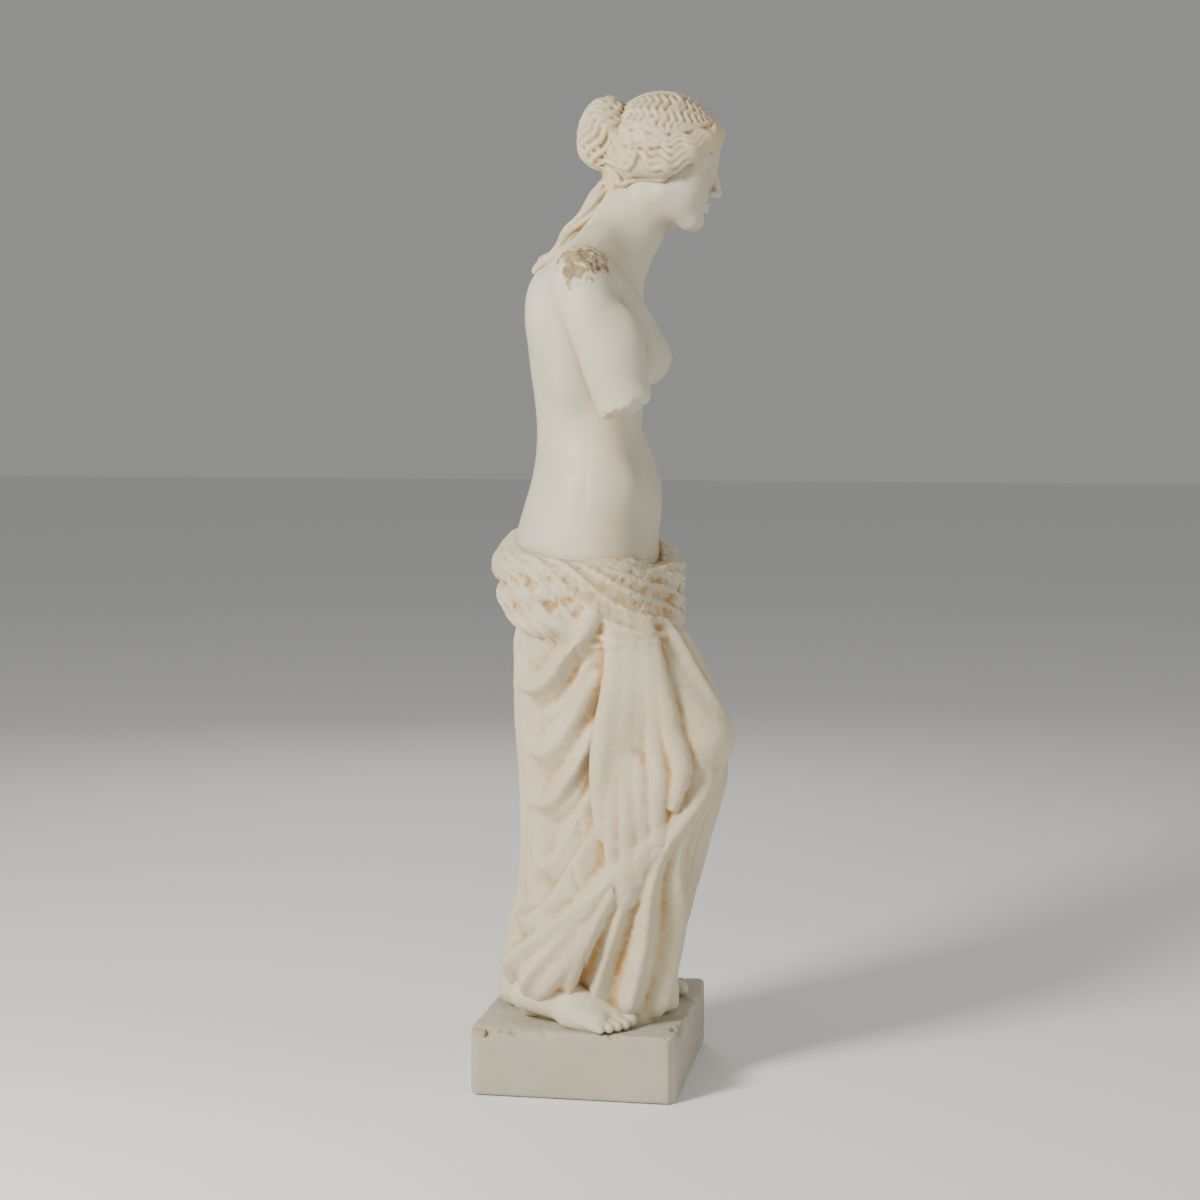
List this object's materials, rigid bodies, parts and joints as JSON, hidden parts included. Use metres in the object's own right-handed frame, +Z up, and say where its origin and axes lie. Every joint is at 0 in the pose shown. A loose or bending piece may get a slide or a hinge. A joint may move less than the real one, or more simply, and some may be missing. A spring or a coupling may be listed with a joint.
{
  "type": "draped female statue",
  "caption": "Standing half-draped goddess in cast stone, armless, hair knotted behind, one knee bent under a mantle, cast in one with its square plinth.",
  "frame": {"origin": "middle of the plinth's underside", "axes": "+Z up, -Y the way the figure faces, +X towards the figure's left"},
  "size_m": [0.5672, 0.545, 2.1006],
  "materials": {
    "cast_stone": "smooth off-white cast stone with ochre stains in the recesses"
  },
  "bodies": {
    "root": {"statue": "cast_stone"}
  },
  "joints": []
}
